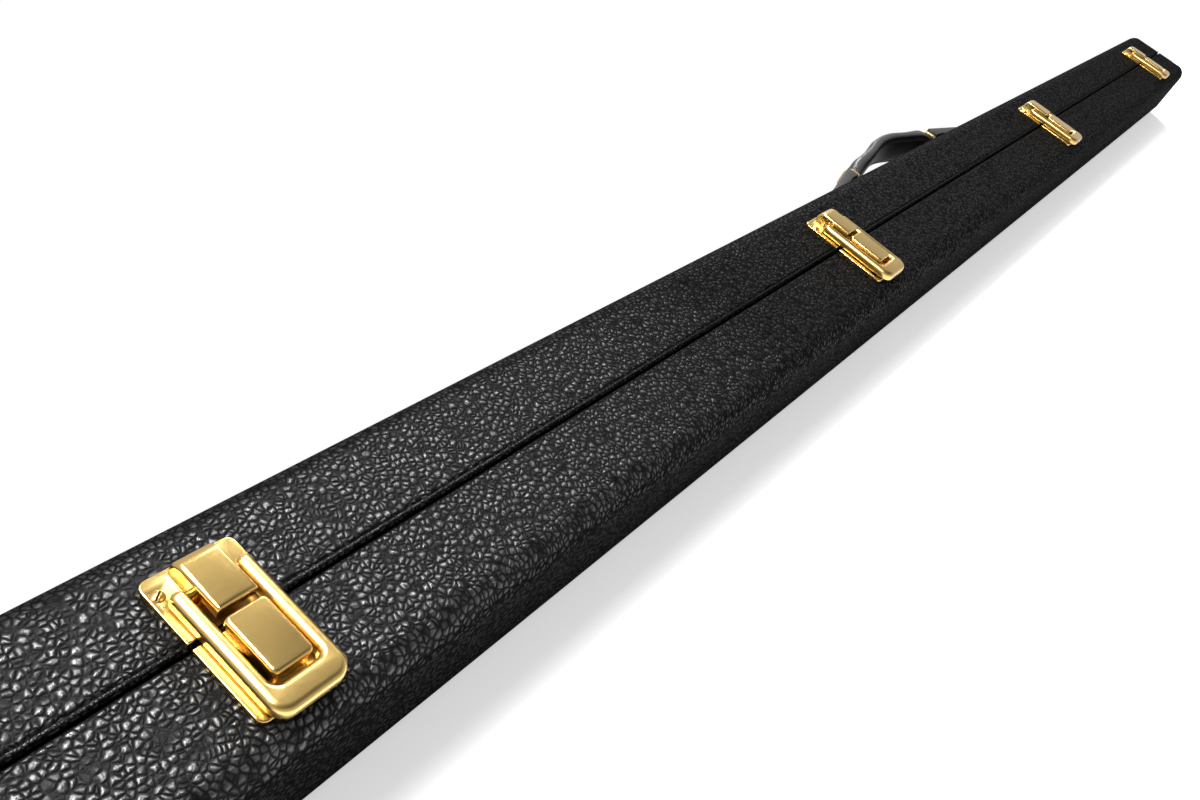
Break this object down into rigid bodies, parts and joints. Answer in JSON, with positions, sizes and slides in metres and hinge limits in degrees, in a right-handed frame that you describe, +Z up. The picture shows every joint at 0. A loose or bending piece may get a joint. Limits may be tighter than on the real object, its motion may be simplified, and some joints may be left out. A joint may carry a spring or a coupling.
{
  "type": "pool cue case",
  "caption": "Long narrow hard case for a one-piece pool cue: black leathercloth over wood, full-length seam and hinge, brass clasp latches and a leather side handle.",
  "frame": {"origin": "middle of the case's length, on the seam between the halves, at the level the case stands on", "axes": "+X along the case towards the cue's tip end, +Y from the body half to the lid half with the handle, +Z up from the hinge side to the latch face"},
  "size_m": [1.516, 0.1062, 0.069],
  "materials": {
    "leathercloth": "coarse-grained black leathercloth with a satin sheen",
    "satin_brass": "satin, lightly worn",
    "case_wood": "unfinished plywood and softwood, hidden by the covering",
    "lining_velvet": "short-pile velvet on foam",
    "rest_foam": "velvet-faced foam block",
    "spring_steel": "plain spring and pin wire",
    "handle_leather": "smooth black leather with a rolled edge"
  },
  "bodies": {
    "body": {"body_cover": "leathercloth", "body_standing_strip": "leathercloth", "body_panel": "case_wood", "body_latch_rail": "case_wood", "body_hinge_rail": "case_wood", "body_near_end": "case_wood", "body_far_end": "case_wood", "body_lining": "lining_velvet", "body_hinge_leaf": "satin_brass", "body_hinge_screws": "satin_brass", "body_latch_screws": "satin_brass", "hinge_pin": "spring_steel", "cue_rest_1": "rest_foam", "cue_rest_2": "rest_foam", "cue_rest_3": "rest_foam", "cue_rest_4": "rest_foam", "latch_keeper_1": "satin_brass", "latch_keeper_2": "satin_brass", "latch_keeper_3": "satin_brass", "latch_keeper_4": "satin_brass", "latch_button_spring_1": "spring_steel", "latch_button_spring_2": "spring_steel", "latch_button_spring_3": "spring_steel", "latch_button_spring_4": "spring_steel"},
    "lid": {"lid_cover": "leathercloth", "lid_standing_strip": "leathercloth", "lid_panel": "case_wood", "lid_latch_rail": "case_wood", "lid_hinge_rail": "case_wood", "lid_near_end": "case_wood", "lid_far_end": "case_wood", "lid_lining": "lining_velvet", "lid_hinge_leaf": "satin_brass", "lid_hinge_screws": "satin_brass", "lid_latch_screws": "satin_brass", "lid_seam_bead": "leathercloth", "lid_pads": "rest_foam", "latch_strike_1": "satin_brass", "latch_strike_2": "satin_brass", "latch_strike_3": "satin_brass", "latch_strike_4": "satin_brass", "latch_bail_pin_1": "satin_brass", "latch_bail_pin_2": "satin_brass", "latch_bail_pin_3": "satin_brass", "latch_bail_pin_4": "satin_brass", "handle_tab_near": "handle_leather", "handle_tab_far": "handle_leather", "handle_rivets": "satin_brass"},
    "bail_1": {"latch_bail_1": "satin_brass"},
    "bail_2": {"latch_bail_2": "satin_brass"},
    "bail_3": {"latch_bail_3": "satin_brass"},
    "bail_4": {"latch_bail_4": "satin_brass"},
    "button_1": {"latch_button_1": "satin_brass"},
    "button_2": {"latch_button_2": "satin_brass"},
    "button_3": {"latch_button_3": "satin_brass"},
    "button_4": {"latch_button_4": "satin_brass"},
    "handle": {"handle_grip": "handle_leather", "handle_ring_near": "satin_brass", "handle_ring_far": "satin_brass", "handle_pins": "spring_steel"}
  },
  "joints": [
    {"name": "lid_hinge", "type": "hinge", "parent": "body", "child": "lid", "pos_m": [0, 0, 0.003], "axis": [-1, 0, 0], "range_deg": [0, 104]},
    {"name": "bail_hinge_1", "type": "hinge", "parent": "lid", "child": "bail_1", "pos_m": [-0.636, 0.0118, 0.06475], "axis": [-1, 0, 0], "range_deg": [0, 110]},
    {"name": "bail_hinge_2", "type": "hinge", "parent": "lid", "child": "bail_2", "pos_m": [-0.212, 0.0118, 0.06475], "axis": [-1, 0, 0], "range_deg": [0, 110]},
    {"name": "bail_hinge_3", "type": "hinge", "parent": "lid", "child": "bail_3", "pos_m": [0.212, 0.0118, 0.06475], "axis": [-1, 0, 0], "range_deg": [0, 110]},
    {"name": "bail_hinge_4", "type": "hinge", "parent": "lid", "child": "bail_4", "pos_m": [0.636, 0.0118, 0.06475], "axis": [-1, 0, 0], "range_deg": [0, 110]},
    {"name": "button_slide_1", "type": "slide", "parent": "body", "child": "button_1", "axis": [0, 1, 0], "range_m": [0, 0.0012], "stiffness_N_per_m": 400, "springref_m": -0.001, "deforming": ["latch_button_spring_1"]},
    {"name": "button_slide_2", "type": "slide", "parent": "body", "child": "button_2", "axis": [0, 1, 0], "range_m": [0, 0.0012], "stiffness_N_per_m": 400, "springref_m": -0.001, "deforming": ["latch_button_spring_2"]},
    {"name": "button_slide_3", "type": "slide", "parent": "body", "child": "button_3", "axis": [0, 1, 0], "range_m": [0, 0.0012], "stiffness_N_per_m": 400, "springref_m": -0.001, "deforming": ["latch_button_spring_3"]},
    {"name": "button_slide_4", "type": "slide", "parent": "body", "child": "button_4", "axis": [0, 1, 0], "range_m": [0, 0.0012], "stiffness_N_per_m": 400, "springref_m": -0.001, "deforming": ["latch_button_spring_4"]},
    {"name": "handle_swing", "type": "hinge", "parent": "lid", "child": "handle", "pos_m": [0.009, 0.0505, 0.03], "axis": [1, 0, 0], "range_deg": [-80, 80]}
  ]
}
